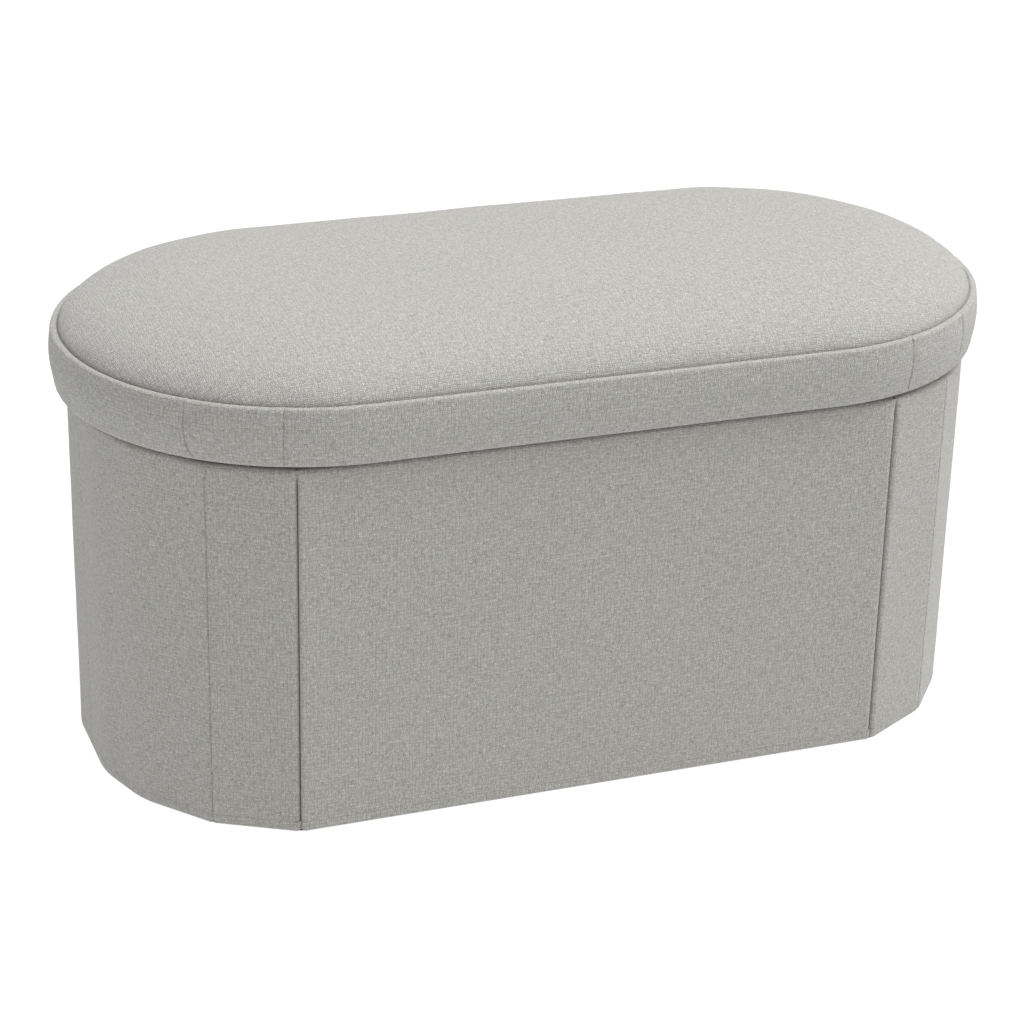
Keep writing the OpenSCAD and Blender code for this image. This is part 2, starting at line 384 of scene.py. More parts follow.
def plate(name, outline, z0, z1, material, edge=0.35, rows_in=6, wave=0.0):
    """A thin closed sheet with rolled edges. outline: (n, 2) in mm, anticlockwise, star-shaped about its centre."""
    c = outline.mean(0)
    n = len(outline)
    prof = [(0.0, z0)]
    ks = np.linspace(0, 1, rows_in + 1)[1:]
    rings = [("b", k) for k in ks[:-1]]
    P = []
    d = outline - c
    L = np.linalg.norm(d, axis=1)[:, None]
    unit = d / L
    for k in ks[:-1]:
        q = c + unit * (L - edge) * k
        P.append(np.c_[q, np.full(n, z0)])
    for th in np.linspace(-90, 90, 5):
        q = c + unit * (L - edge + edge * math.cos(rad(th)))
        P.append(np.c_[q, np.full(n, (z0 + z1) / 2 + (z1 - z0) / 2 * math.sin(rad(th)))])
    for k in ks[:-1][::-1]:
        q = c + unit * (L - edge) * k
        z = np.full(n, z1) + wave * ripple(q[:, 0], q[:, 1])
        P.append(np.c_[q, z])
    verts = np.concatenate(P)
    m = len(P)
    V = verts.tolist() + [[c[0], c[1], z0], [c[0], c[1], z1]]
    faces = []
    for i in range(m - 1):
        for j in range(n):
            k = (j + 1) % n
            faces.append((i * n + j, i * n + k, (i + 1) * n + k, (i + 1) * n + j))
    for j in range(n):
        k = (j + 1) % n
        faces.append((m * n, k, j))
        faces.append((m * n + 1, (m - 1) * n + j, (m - 1) * n + k))
    me = bpy.data.meshes.new(name)
    me.from_pydata((np.array(V) * MM).tolist(), [], faces)
    layer = me.uv_layers.new(name="cloth")
    for loop in me.loops:
        co = me.vertices[loop.vertex_index].co
        layer.data[loop.index].uv = (co.x, co.y)
    return finish_mesh(name, me, material, 0.0, 0.0)


def put(o, body, replaces=()):
    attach(o, body)
    if replaces:
        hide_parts(*replaces)
    return o


# ------------------------------------------------------------------ the wall ring, from the joints' own places
J = {j["name"]: j for j in frame["joints"]}
at = lambda n: np.abs(np.array(J[n]["pos_m"][:2], float)) * 1000.0
H = [at("left_front_corner_fold"), at("left_front_fold_1"), at("left_front_fold_2"), at("left_front_fold_3"), at("left_end_fold")]
TH = 12.0                                   # wall thickness, fold line to outer face
IN = [H[0], H[1], H[2], H[3], np.array([H[4][0] - TH, 0.0])]
U = [np.array([1.0, 0.0])] + [(IN[k] - IN[k - 1]) / np.linalg.norm(IN[k] - IN[k - 1]) for k in (1, 2, 3, 4)]
NRM = [np.array([-u[1], u[0]]) for u in U]
LEN = [0.0] + [float(np.linalg.norm(IN[k] - IN[k - 1])) for k in (1, 2, 3, 4)]
HEAD = [-math.degrees(math.atan2(u[1], u[0])) for u in U]
TURN = [HEAD[k + 1] - HEAD[k] for k in range(4)]
HALF = H[0][0]
Z0, Z1 = 8.6, 299.0
YO, YI = 11.4, 0.3                          # outer and inner face of a covered wall, from the fold line
SKIN = 0.8
TURN_IN = 30.0
TAU = math.tan(rad(TURN[0] / 2))
GROOVE = 0.10                               # half of the gap in a corner groove
GUSSET_R = 9.6                              # the fabric across a corner groove, round the fold line
QUADS = [(1, 1), (1, -1), (-1, 1), (-1, -1)]


def qname(sx, sy):
    return ("back" if sy > 0 else "front") + "_" + ("right" if sx > 0 else "left")


def profile_rows(ro=5.0, ri=3.0, lower=Z0, inner_to=Z1 - TURN_IN):
    """(z, depth below the outer face, share of the corner drop, cloth length)"""
    D = YO - YI
    pts = [(z, 0.0) for z in (lower, lower + 2, lower + 6)] + [(float(z), 0.0) for z in np.arange(24, 262, 9.0)] + [(268.0, 0.0), (275.0, 0.0), (281.0, 0.0), (287.0, 0.0)]
    for th in np.linspace(0, 90, 7):
        pts.append((Z1 - ro + ro * math.sin(rad(th)), ro - ro * math.cos(rad(th))))
    for th in np.linspace(0, 90, 5):
        pts.append((Z1 - ri + ri * math.cos(rad(th)), D - ri + ri * math.sin(rad(th))))
    pts += [(Z1 - 12, D), (inner_to, D)]
    out, run = [], 0.0
    for i, (z, b) in enumerate(pts):
        if i:
            run += math.hypot(z - pts[i - 1][0], b - pts[i - 1][1])
        out.append((z, b, float(smoothstep((z - (Z1 - 30)) / 22.0)) * float(smoothstep(1.15 - b / 3.2)), run + lower))
    return out


ROWS = profile_rows()


def edge_columns(r=1.35, deep=3.6):
    """(distance beyond the fold line, height above it, run) up out of a corner groove and over its rounded edge"""
    e_at = lambda y: y * TAU - GROOVE
    half = rad(90 - TURN[0] / 2) / 2
    C = np.array([e_at(YO), YO])
    d1 = -np.array([math.sin(rad(TURN[0] / 2)), math.cos(rad(TURN[0] / 2))])
    d2 = np.array([-1.0, 0.0])
    cen = C + (d1 + d2) / np.linalg.norm(d1 + d2) * r / math.sin(half)
    p0 = C + d1 * r / math.tan(half)
    p1 = C + d2 * r / math.tan(half)
    a0 = math.atan2(*(p0 - cen)[::-1])
    a1 = math.atan2(*(p1 - cen)[::-1])
    pts = [np.array([e_at(y), y]) for y in np.linspace(deep, p0[1], 4)[:-1]]
    for a in np.linspace(a0, a1, 9):
        pts.append(cen + r * np.array([math.cos(a), math.sin(a)]))
    return pts, C


_pts, CORNER = edge_columns()


def corner_drop(dist, rc):
    d = np.clip(rc - dist, 0.0, rc)
    return rc - math.sqrt(max(rc * rc - d * d, 0.0))


def face_stations(a, b, step=8.0, fine=(1.2, 2.6, 4.6, 7.5, 11.5)):
    """Stations from a to b, closer together at both ends."""
    lo = [a + f for f in fine if a + f < (a + b) / 2 - 2]
    hi = [b - f for f in fine if b - f > (a + b) / 2 + 2]
    mid = np.linspace((lo or [a])[-1], (hi or [b])[-1], max(2, int(abs(b - a - 23) / step) + 2))[1:-1]
    return [a] + lo + list(mid) + hi[::-1] + [b]


def columns(start, end, L, u0, rc_a=5.0, rc_b=5.0, r_a=3.2, r_b=3.2):
    """Columns along one wall: (s, y, shear weight and side, drop, cloth u). start and end are 'groove', 'crease' or a border distance."""
    cols = []
    cx = CORNER[0]
    EDGE_A, EDGE_B = edge_columns(r_a)[0], edge_columns(r_b)[0]
    if start == "groove":
        run = -6.0
        for i, p in enumerate(EDGE_A):
            if i:
                run += float(np.linalg.norm(p - EDGE_A[i - 1]))
            cols.append([-p[0], p[1], -1.0, corner_drop(max(cx - p[0], 0.0), rc_a), u0 + run - 1.0, cx - p[0]])
        a = -EDGE_A[-1][0]
        ua = cols[-1][4]
    elif start == "crease":
        a, ua = 0.1, u0
        for th in np.linspace(90, 0, 4)[:-1]:
            cols.append([0.15 + 0.8 - 0.8 * math.sin(rad(th)), YO - 0.8 + 0.8 * math.cos(rad(th)), 0.0, 0.0, u0 + 0.4, 99.0])
        a = 0.9
    else:
        a, ua = start, u0 + start
    if end == "groove":
        b = L + EDGE_B[-1][0]
    elif end == "crease":
        b = L - 1.0
    else:
        b = L - end
    for s in face_stations(a, b):
        da = s + cx if start == "groove" else 99.0
        db = L + cx - s if end == "groove" else 99.0
        d = min(da, db)
        side = -1.0 if da < db else 1.0
        if start == "groove" and abs(s - a) < 1e-9 or end == "groove" and abs(s - b) < 1e-9:
            if start == "groove" and abs(s - a) < 1e-9:
                continue
        cols.append([s, YO, side, corner_drop(d, rc_a if side < 0 else rc_b), ua + (s - a), d])
    ub = cols[-1][4]
    if end == "groove":
        cols.pop()
        run = 0.0
        for i in range(len(EDGE_B) - 1, -1, -1):
            p = EDGE_B[i]
            if i < len(EDGE_B) - 1:
                run += float(np.linalg.norm(p - EDGE_B[i + 1]))
            cols.append([L + p[0], p[1], 1.0, corner_drop(max(cx - p[0], 0.0), rc_b), ub + run, cx - p[0]])
    elif end == "crease":
        for th in np.linspace(0, 90, 4)[1:]:
            cols.append([L - 1.0 + 0.8 * math.sin(rad(th)), YO - 0.8 + 0.8 * math.cos(rad(th)), 0.0, 0.0, ub + 0.3, 99.0])
    return cols


def wall_points(cols, place, rows=ROWS, wob=0.16, seed=0.0, dip=None):
    P = np.zeros((len(cols), len(rows), 3))
    UV = np.zeros((len(cols), len(rows), 2))
    for i, (s, y0, side, drop, u, dist) in enumerate(cols):
        w = float(smoothstep(1.0 - dist / 16.0)) if dist < 90 else 0.0
        for j, (z, b, share, run) in enumerate(rows):
            yo = y0
            if dip is not None:
                yo -= dip(s, z) * (1 - b / (YO - YI))
            y = YI + (yo - YI) * (1 - b / (YO - YI))
            ss = s - side * TAU * (y0 - y) * w
            edge_fade = min(1.0, dist / 8.0) * float(smoothstep((z - Z0) / 14.0))
            y += wob * ripple(u, z, seed) * edge_fade * (1 - b / (YO - YI)) - wob * 0.4 * (1 - b / (YO - YI))
            P[i, j] = place(ss, y, z - drop * share)
            UV[i, j] = (u, run)
    return P, UV


def straight(origin, u, n):
    return lambda s, y, z: (origin[0] + u[0] * s + n[0] * y, origin[1] + u[1] * s + n[1] * y, z)


# long walls
outline_q = []                               # outer line of the ring in one quadrant, with its cloth length
long_cols = columns("groove", "groove", 2 * HALF, -HALF)
CORNER_RC = {"front_left": (3.0, 5.0, 2.8, 4.6), "front_right": (9.5, 3.0, 4.6, 2.8), "back_left": (5.0, 5.0, 3.2, 3.2), "back_right": (5.0, 5.0, 3.2, 3.2)}   # wall, strip: top corner, then edge
for sy, side in ((1, "back"), (-1, "front")):
    cl, cr = CORNER_RC[f"{side}_left"], CORNER_RC[f"{side}_right"]
    own_cols = columns("groove", "groove", 2 * HALF, -HALF, cl[0], cr[0], cl[2], cr[2])
    P, UV = wall_points(own_cols, straight((-HALF, H[0][1]), (1, 0), (0, 1)), seed=0.4 if sy > 0 else 0.0)
    P = mirror_q(P, 1, sy)
    o = grid_object(f"{side}_cover_panel", P, UV, COVER, flip=sy > 0, solid=SKIN)
    put(o, f"{side}_wall", [f"{side}_cover"])

# strips
TAN_LEN = {1: 6.0, 2: 14.0, 3: 14.0}         # length of outer face that each soft bend uses on both sides
BEND = {}
for k in (1, 2, 3):
    half = rad(TURN[k] / 2)
    R12 = TAN_LEN[k] / math.tan(half)
    s0 = TAN_LEN[k] - TH * math.tan(half)
    O = H[k] - s0 * U[k] - (R12 - TH) * NRM[k]
    BEND[k] = (R12, s0, O)


def p1_dip(l):
    return 0.95 * math.exp(-((l / 0.5) ** 2)) + 0.3 * math.exp(-((l / 2.0) ** 2))


u_start = {1: HALF + 8.0}
strip_cols, bend_cols = {}, {}
u = u_start[1]
for k in (1, 2, 3, 4):
    start = "groove" if k == 1 else BEND[k - 1][1]
    end = BEND[k][1] if k < 4 else "crease"
    base = u - (0.0 if k == 1 else start)
    strip_cols[k] = columns(start, end, LEN[k], base)
    u = strip_cols[k][-1][4]
    if k < 4:
        R12, s0, O = BEND[k]
        cols = []
        nphi = 37 if k == 1 else 15
        for phi in np.linspace(0, TURN[k], nphi):
            l = (phi - TURN[k] / 2) * math.pi / 180 * (R12 - 0.6)
            cols.append([phi, YO, 0.0, 0.0, u + rad(phi) * (R12 - 0.6), 99.0 if k > 1 else 99.0])
        bend_cols[k] = cols
        u = cols[-1][4]


def seam_turn(z):
    """Near the top the seam of the first bend runs round the rounded corner of strip 1."""
    t = min(max((z - (Z1 - 11)) / 11.0, 0.0), 1.0)
    return 5.5 * (1 - math.sqrt(1 - t * t))


for sx, sy in QUADS:
    q = qname(sx, sy)
    flip = sx * sy > 0
    for k in (1, 2, 3, 4):
        own_cols = strip_cols[k]
        if k == 1:
            own_cols = columns("groove", BEND[1][1], LEN[1], u_start[1], CORNER_RC[q][1], 5.0, CORNER_RC[q][3])
        P, UV = wall_points(own_cols, straight(IN[k - 1], U[k], NRM[k]), seed=sx * 0.9 + sy * 0.5)
        o = grid_object(f"{q}_strip_{k}_cover_panel", mirror_q(P, sx, sy), UV, COVER, flip=flip, solid=SKIN)
        put(o, f"{q}_strip_{k}", [f"{q}_strip_{k}_cover"])
    for k in (1, 2, 3):
        R12, s0, O = BEND[k]

        def around(phi, y, z, O=O, R12=R12, k=k):
            a = rad(HEAD[k] + phi)
            r = R12 - TH + y
            return (O[0] + r * math.sin(a), O[1] + r * math.cos(a), z)

        dip = None
        if k == 1:
            dip = lambda phi, z, R12=R12, k=k: p1_dip((phi - TURN[k] / 2) * math.pi / 180 * R12 + seam_turn(z))
        P, UV = wall_points(bend_cols[k], around, seed=sx * 0.9 + sy * 0.5, dip=dip)
        o = grid_object(f"{q}_bend_{k}", mirror_q(P, sx, sy), UV, COVER, flip=flip, solid=SKIN)
        a, b = (H[k] - s0 * U[k]) * MM, (H[k] + s0 * U[k + 1]) * MM
        # measured on the outer face at both borders of the bend; nothing uses them
        a = a + NRM[k] * YO * MM * 0.5
        b = b + NRM[k + 1] * YO * MM * 0.5
        f"{q}_strip_{k + 1}"
        a[0] * sx
        a[1] * sy
        b[0] * sx
        b[1] * sy
        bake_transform(o)

    # corner groove between a long wall and strip 1
    def gusset(name, a0, a1, n, q=q, sx=sx, sy=sy, flip=flip):
        zs = [Z0] + list(np.arange(20, 280, 13.0)) + [284.0, 288.0, 291.0, 294.0, 296.5, 298.5]
        P = np.zeros((n, len(zs), 3))
        UV = np.zeros((n, len(zs), 2))
        for i, ph in enumerate(np.linspace(a0, a1, n)):
            for j, z in enumerate(zs):
                tuck = 4.6 - 3.0 * float(smoothstep((z - 282.0) / 11.0))
                r = GUSSET_R - tuck * math.exp(-(((ph - TURN[0] / 2) / 8.0) ** 2))
                P[i, j] = (H[0][0] + r * math.sin(rad(ph)), H[0][1] + r * math.cos(rad(ph)), z)
                UV[i, j] = (u_start[1] + GUSSET_R * rad(ph), z)
        return grid_object(name, mirror_q(P, sx, sy), UV, COVER, flip=flip, solid=0.5)

    wall = "back_wall" if sy > 0 else "front_wall"
    ga = TURN[0] / 2 - 0.9
    if (sx, sy) != (1, 1):
        o = gusset(f"{q}_corner_gusset", -12.0, TURN[0] + 12.0, 107)
        p = lambda ph: ((H[0][0] + GUSSET_R * math.sin(rad(ph))) * MM * sx, (H[0][1] + GUSSET_R * math.cos(rad(ph))) * MM * sy, 0.15)
        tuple(p(ga))
        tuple(p(TURN[0] - ga))
        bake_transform(o)
    else:
        o = gusset(f"{q}_corner_gusset_wall_half", -12.0, TURN[0] / 2 - 0.3, 25)
        put(o, wall)
        o = gusset(f"{q}_corner_gusset_strip_half", TURN[0] / 2 + 0.3, TURN[0] + 12.0, 25)
        put(o, f"{q}_strip_1")

    # inner lining of the strips
    for k in (1, 2, 3, 4):
        s_a, s_b = 0.35, LEN[k] - (0.35 if k < 4 else 7.0)
        ss = [s_a] + list(np.linspace(s_a + 1.5, s_b - 1.5, max(3, int(LEN[k] / 9)))) + [s_b]
        zs = [Z0] + list(np.linspace(Z0 + 2, Z1 - TURN_IN - 2.2, 24)) + [Z1 - TURN_IN - 0.2]
        P = np.zeros((len(ss), len(zs), 3))
        UV = np.zeros((len(ss), len(zs), 2))
        pl = straight(IN[k - 1], U[k], NRM[k])
        for i, s in enumerate(ss):
            for j, z in enumerate(zs):
                edge = min(s - s_a, s_b - s, 6) / 6 * min(z - zs[0], zs[-1] - z, 8) / 8
                P[i, j] = pl(s, 0.42 + 0.12 * (1 - edge) + 0.1 * ripple(s * 2 + k * 70, z, sx + 2 * sy) * edge, z)
                UV[i, j] = (s + 80 * k, z)
        o = grid_object(f"{q}_strip_{k}_lining_panel", mirror_q(P, sx, sy), UV, LINING, flip=not flip, solid=0.55)
        put(o, f"{q}_strip_{k}")

# inner fold of each end, between the two narrow end strips
for sx, side in ((1, "right"), (-1, "left")):
    ys = np.linspace(-6.9, 6.9, 25)
    zs = [Z0] + list(np.linspace(Z0 + 3, Z1 - TURN_IN - 3, 22)) + [Z1 - TURN_IN - 0.2]
    P = np.zeros((len(ys), len(zs), 3))
    UV = np.zeros((len(ys), len(zs), 2))
    for i, y in enumerate(ys):
        for j, z in enumerate(zs):
            P[i, j] = ((H[4][0] - TH + 0.5) * sx, -y, z)
            UV[i, j] = (y + 500, z)
    o = grid_object(f"{side}_end_fold_lining", P, UV, LINING, flip=sx < 0, solid=0.5)
    (H[4][0] - TH) * MM * sx
    (H[4][0] - TH) * MM * sx
    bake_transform(o)

# lining and wadding of the long walls
for sy, side in ((1, "back"), (-1, "front")):
    for kind in ("lining_panel", "wadding_panel"):
        lin = kind == "lining_panel"
        half = HALF - (0.35 if lin else 1.6)
        xs = [-half] + list(np.linspace(-half + 2, half - 2, 50)) + [half]
        top = (Z1 - TURN_IN - 0.2) if lin else Z1 - 2.6
        zs = [Z0 if lin else Z0 + 1] + list(np.linspace(Z0 + 3, top - 2.5, 26)) + [top]
        P = np.zeros((len(xs), len(zs), 3))
        UV = np.zeros((len(xs), len(zs), 2))
        for i, x in enumerate(xs):
            for j, z in enumerate(zs):
                edge = min(half - abs(x), 8) / 8 * min(z - zs[0], top - z, 8) / 8
                if lin:
                    y = 0.42 + 0.12 * (1 - edge) + 0.1 * ripple(x, z, sy) * edge
                else:
                    y = 9.7 + 0.6 * math.sqrt(max(edge, 0.0)) + 0.08 * ripple(x * 2, z * 2, sy)
                P[i, j] = (x, H[0][1] + y, z)
                UV[i, j] = (x, z)
        P = mirror_q(P, 1, sy)
        o = grid_object(f"{side}_{kind}", P, UV, LINING if lin else WADDING, flip=(sy > 0) != lin, solid=0.55 if lin else 0.65)
        if lin:
            put(o, f"{side}_wall", [f"{side}_lining"])
        else:
            put(o, f"{side}_wall", [f"{side}_padding"])


# ------------------------------------------------------------------ hem and fabric floor
def ring_outline():
    """Outer line of the whole ring at the foot of the walls, anticlockwise from the middle of the back wall's right half: (x, y, cloth u)."""
    Q = []
    for s, y0, side, drop, uu, dist in long_cols:
        if s - HALF > 0 and y0 > 8.2:
            Q.append((s - HALF, H[0][1] + y0, s - HALF))
    for k in (1, 2, 3, 4):
        pl = straight(IN[k - 1], U[k], NRM[k])
        for s, y0, side, drop, uu, dist in strip_cols[k]:
            if y0 > (8.2 if k == 1 else YO - 0.9):
                x, y, _ = pl(s, y0, 0)
                if y > 0.02:
                    Q.append((x, y, uu))
        if k < 4:
            R12, s0, O = BEND[k]
            for phi, y0, *_r in bend_cols[k][1:-1]:
                a = rad(HEAD[k] + phi)
                uu = _r[2]
                dd = p1_dip((phi - TURN[k] / 2) * math.pi / 180 * R12) if k == 1 else 0.0
                Q.append((O[0] + (R12 - TH + y0 - dd) * math.sin(a), O[1] + (R12 - TH + y0 - dd) * math.cos(a), uu))
    Q = np.array(Q)
    total = Q[-1, 2] + abs(Q[-1, 1])
    A = Q[::-1].copy()
    A[:, 2] = total - Q[::-1, 2]                                   # end of the quadrant back to x = 0
    B = np.c_[-Q[:, 0], Q[:, 1], total + Q[:, 2]]
    C = np.c_[-Q[::-1, 0], -Q[::-1, 1], 3 * total - Q[::-1, 2]]
    D = np.c_[Q[:, 0], -Q[:, 1], 3 * total + Q[:, 2]]
    return np.concatenate([A, B, C, D]), total


RING, _tot = ring_outline()
d = np.roll(RING[:, :2], -1, 0) - np.roll(RING[:, :2], 1, 0)
d /= np.linalg.norm(d, axis=1)[:, None]
out_n = np.c_[d[:, 1], -d[:, 0]]
hem_rows = [(8.45, 0.06), (7.0, 0.0), (5.0, 0.0), (3.0, 0.0), (1.7, 0.05)] + [
    (1.7 - 1.4 * math.sin(rad(t)), 0.05 + 1.4 * (1 - math.cos(rad(t)))) for t in (22, 45, 67, 90)
] + [(0.28, 2.4)]
P = np.zeros((len(RING), len(hem_rows), 3))
UV = np.zeros((len(RING), len(hem_rows), 2))
run = 8.45
for j, (z, ins) in enumerate(hem_rows):
    if j:
        run -= math.hypot(z - hem_rows[j - 1][0], ins - hem_rows[j - 1][1])
    P[:, j, :2] = RING[:, :2] - out_n * ins
    P[:, j, 2] = z
    UV[:, j, 0] = RING[:, 2]
    UV[:, j, 1] = run
hem = grid_object("hem_band", P, UV, COVER, flip=True, close_u=True, solid=0.9)
for v in hem.data.vertices:
    v.co.z = max(v.co.z, 0.00025)
put(hem, "front_wall", ["bottom_tray"])
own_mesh(hem)


def ring_corners(inset):
    pts = []
    V = [H[0] + TH / math.cos(rad(TURN[0] / 2)) * (NRM[0] + NRM[1]) / np.linalg.norm(NRM[0] + NRM[1])]
    V += [H[k] + TH / math.cos(rad(TURN[k] / 2)) * (NRM[k] + NRM[k + 1]) / np.linalg.norm(NRM[k] + NRM[k + 1]) for k in (1, 2, 3)]
    for k in range(4):
        n = (NRM[k] + NRM[k + 1]) / np.linalg.norm(NRM[k] + NRM[k + 1])
        pts.append(V[k] - n * inset / math.cos(rad(TURN[k] / 2)))
    pts = np.array(pts)
    q1 = pts[::-1]
    q2 = pts * [-1, 1]
    q3 = pts[::-1] * [-1, -1]
    q4 = pts * [1, -1]
    loop = np.concatenate([q1, q2, q3, q4])
    # more points on each side and slightly rounded corners
    out = []
    n = len(loop)
    for i in range(n):
        a, b = loop[i], loop[(i + 1) % n]
        L = np.linalg.norm(b - a)
        for t in np.linspace(0, 1, max(3, int(L / 3.0)) + 1)[:-1]:
            out.append(a + (b - a) * t)
    out = np.array(out)
    for _ in range(2):
        out = out * 0.5 + (np.roll(out, 1, 0) + np.roll(out, -1, 0)) * 0.25
    return out


floor_cloth = plate("fabric_floor", ring_corners(2.2), 0.25, 1.35, LINING, edge=0.5)
put(floor_cloth, "front_wall")
FB = 12.95                                  # outer line of the cloth round the floor board
rows = [(FB, 1.62), (FB, 3.2), (FB, 5.0), (FB, 6.3)] + [(FB + 0.6 - 0.6 * math.cos(rad(t)), 6.58 + 0.6 * math.sin(rad(t))) for t in (0, 30, 60, 90)] + [(15.5, 7.18), (18.0, 7.18)]
base_ = ring_corners(FB)
rad_ = np.linalg.norm(base_, axis=1)[:, None]
P = np.zeros((len(base_), len(rows) + 11, 3))
for j, (ins, z) in enumerate(rows):
    P[:, j, :2] = base_ * (1 - (ins - FB) / rad_)
    P[:, j, 2] = z
for j, k in enumerate(np.linspace(0, 1, 12)[1:]):
    P[:, len(rows) + j, :2] = P[:, len(rows) - 1, :2] * (1 - k)
    P[:, len(rows) + j, 2] = 7.18
UV = P[:, :, :2] * (1 + (7.18 - P[:, :, 2:3]) / 300.0)
cover = grid_object("floor_board_cloth", P, UV, LINING, close_u=True, solid=0.42, weld=1e-5, planar=True)
put(cover, "front_wall", ["floor_board_cover"])


# ------------------------------------------------------------------ the lid
A_HALF, RL = 185.0, 195.0


def stadium(inset, spacing=4.0, full=True, arc_n=None, line_n=None):
    """Closed outline, anticlockwise seen from above, from the middle of the right end: points and outward normals."""
    r = RL - inset
    arc_n = arc_n or 96
    line_n = line_n or 92
    pts, nor = [], []
    for t in np.linspace(0, 90, arc_n // 2 + 1)[:-1]:
        pts.append((A_HALF + r * math.cos(rad(t)), r * math.sin(rad(t)))); nor.append((math.cos(rad(t)), math.sin(rad(t))))
    for t in np.linspace(A_HALF, -A_HALF, line_n + 1)[:-1]:
        pts.append((t, r)); nor.append((0.0, 1.0))
    for t in np.linspace(90, 270, arc_n + 1)[:-1]:
        pts.append((-A_HALF + r * math.cos(rad(t)), r * math.sin(rad(t)))); nor.append((math.cos(rad(t)), math.sin(rad(t))))
    for t in np.linspace(-A_HALF, A_HALF, line_n + 1)[:-1]:
        pts.append((t, -r)); nor.append((0.0, -1.0))
    for t in np.linspace(-90, 0, arc_n // 2 + 1)[:-1]:
        pts.append((A_HALF + r * math.cos(rad(t)), r * math.sin(rad(t)))); nor.append((math.cos(rad(t)), math.sin(rad(t))))
    return np.array(pts), np.array(nor)


PAD_IN, PAD_Z, PAD_TOP = 8.0, 346.4, 386.6


def crown(inset, h=PAD_TOP - PAD_Z, start=PAD_IN):
    t = np.clip((inset - start) / (RL - start), 0.0, 1.0)
    return PAD_Z + h * (1 - (1 - t) ** 3.2) ** 0.60


def pad_mesh(insets, heights, arc_n, line_n, bottom):
    """Closed crowned form: rings from the seam to the middle line, and a flat underside."""
    rows = [(PAD_IN + 8.0, bottom), (PAD_IN + 1.5, bottom + 3.0), (PAD_IN + 1.0, PAD_Z - 8.0), (PAD_IN + 0.3, PAD_Z - 2.5)] + list(zip(insets, heights))
    V, F, INFO = [], [], []
    n = None
    for ins, z in rows:
        p, nn = stadium(ins, arc_n=arc_n, line_n=line_n)
        n = len(p)
        V.append(np.c_[p, np.full(n, z)])
    m = len(rows)
    V = np.concatenate(V)
    for i in range(m - 1):
        for j in range(n):
            k = (j + 1) % n
            F.append((i * n + j, i * n + k, (i + 1) * n + k, (i + 1) * n + j))
    # underside
    p, nn = stadium(rows[0][0] + 60, arc_n=arc_n, line_n=line_n)
    base = len(V)
    V = np.concatenate([V, np.c_[p, np.full(n, bottom)]])
    for j in range(n):
        k = (j + 1) % n
        F.append((j, base + j, base + k, k))
    p, nn = stadium(RL, arc_n=arc_n, line_n=line_n)
    base2 = len(V)
    V = np.concatenate([V, np.c_[p, np.full(n, bottom)]])
    for j in range(n):
        k = (j + 1) % n
        F.append((base + j, base2 + j, base2 + k, base + k))
    return V, F, n, m


def crown_arc():
    """Cloth length from the middle line outwards, against inset."""
    ins = np.linspace(RL, PAD_IN, 600)
    z = crown(ins)
    dl = np.hypot(np.diff(ins), np.diff(z))
    return ins[::-1], np.concatenate([[0], np.cumsum(dl)])[::-1]


ARC_I, ARC_L = crown_arc()


def pad_uv(x, y):
    cx = np.clip(x, -A_HALF, A_HALF)
    dx, dy = x - cx, y
    r = np.hypot(dx, dy)
    l = np.interp(RL - r, ARC_I, ARC_L)
    k = np.where(r > 1e-6, l / np.maximum(r, 1e-6), 1.0)
    return cx + dx * k, dy * k


